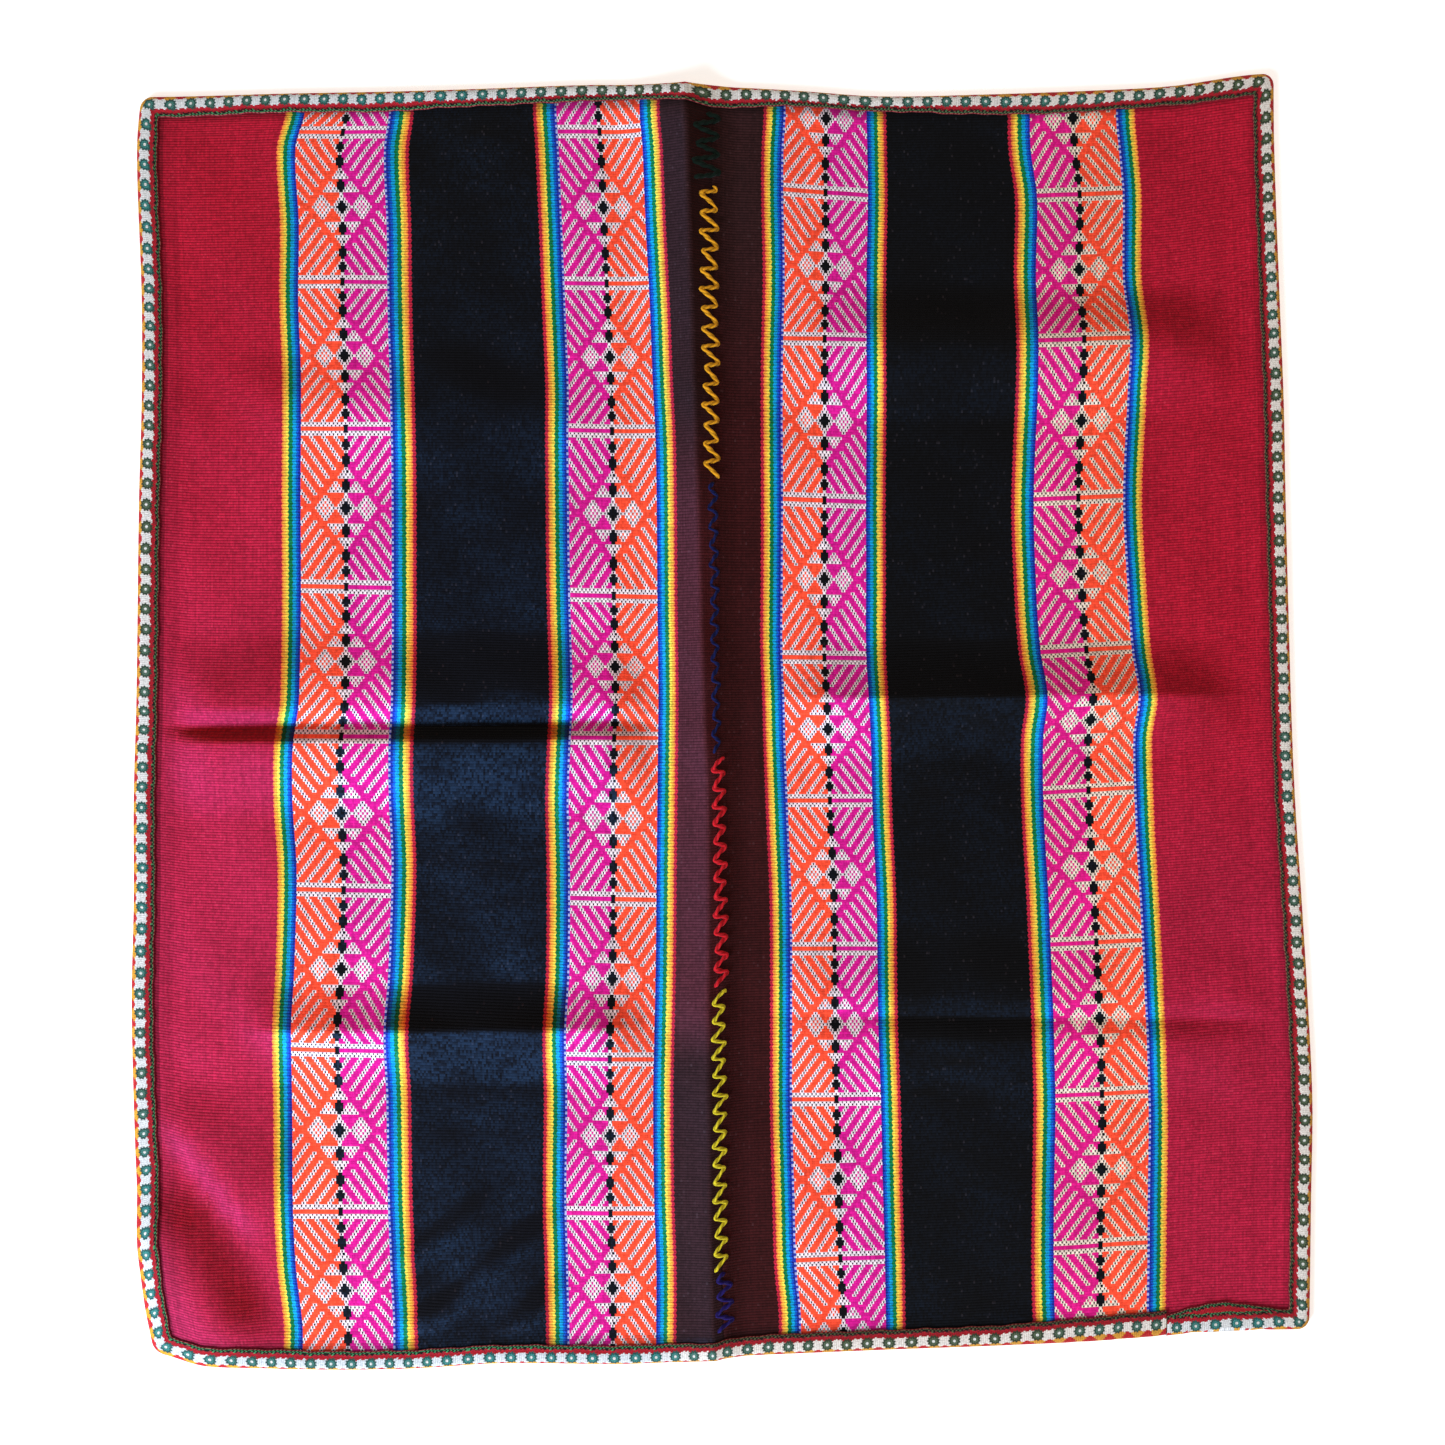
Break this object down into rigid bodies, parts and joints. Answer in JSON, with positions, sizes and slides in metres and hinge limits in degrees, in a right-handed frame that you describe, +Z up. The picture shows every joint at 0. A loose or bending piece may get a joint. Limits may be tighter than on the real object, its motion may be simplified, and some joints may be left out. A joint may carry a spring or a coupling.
{
  "type": "open aguayo carrying cloth",
  "caption": "Woven carrying cloth lying open with its fold creases: striped panels joined by a zigzag seam of coloured yarn, inside a tubular woven edge band.",
  "frame": {"origin": "centre of the cloth's box, on the surface that it lies on", "axes": "+X to the right and +Y to the far edge as the face is seen in the picture, +Z up out of the face"},
  "size_m": [0.8836, 0.9687, 0.0215],
  "materials": {
    "woven_panel_left": "matte warp-faced weave",
    "woven_panel_right": "matte warp-faced weave",
    "edge_band": "matte tubular weave",
    "yarn_violet": "matte spun yarn",
    "yarn_yellow": "matte spun yarn",
    "yarn_red": "matte spun yarn",
    "yarn_navy": "matte spun yarn",
    "yarn_gold": "matte spun yarn",
    "yarn_green": "matte spun yarn"
  },
  "bodies": {
    "root": {"panel_left": "woven_panel_left", "panel_right": "woven_panel_right", "edging": "edge_band", "seam_violet": "yarn_violet", "seam_yellow": "yarn_yellow", "seam_red": "yarn_red", "seam_navy": "yarn_navy", "seam_gold": "yarn_gold", "seam_green": "yarn_green"}
  },
  "joints": []
}
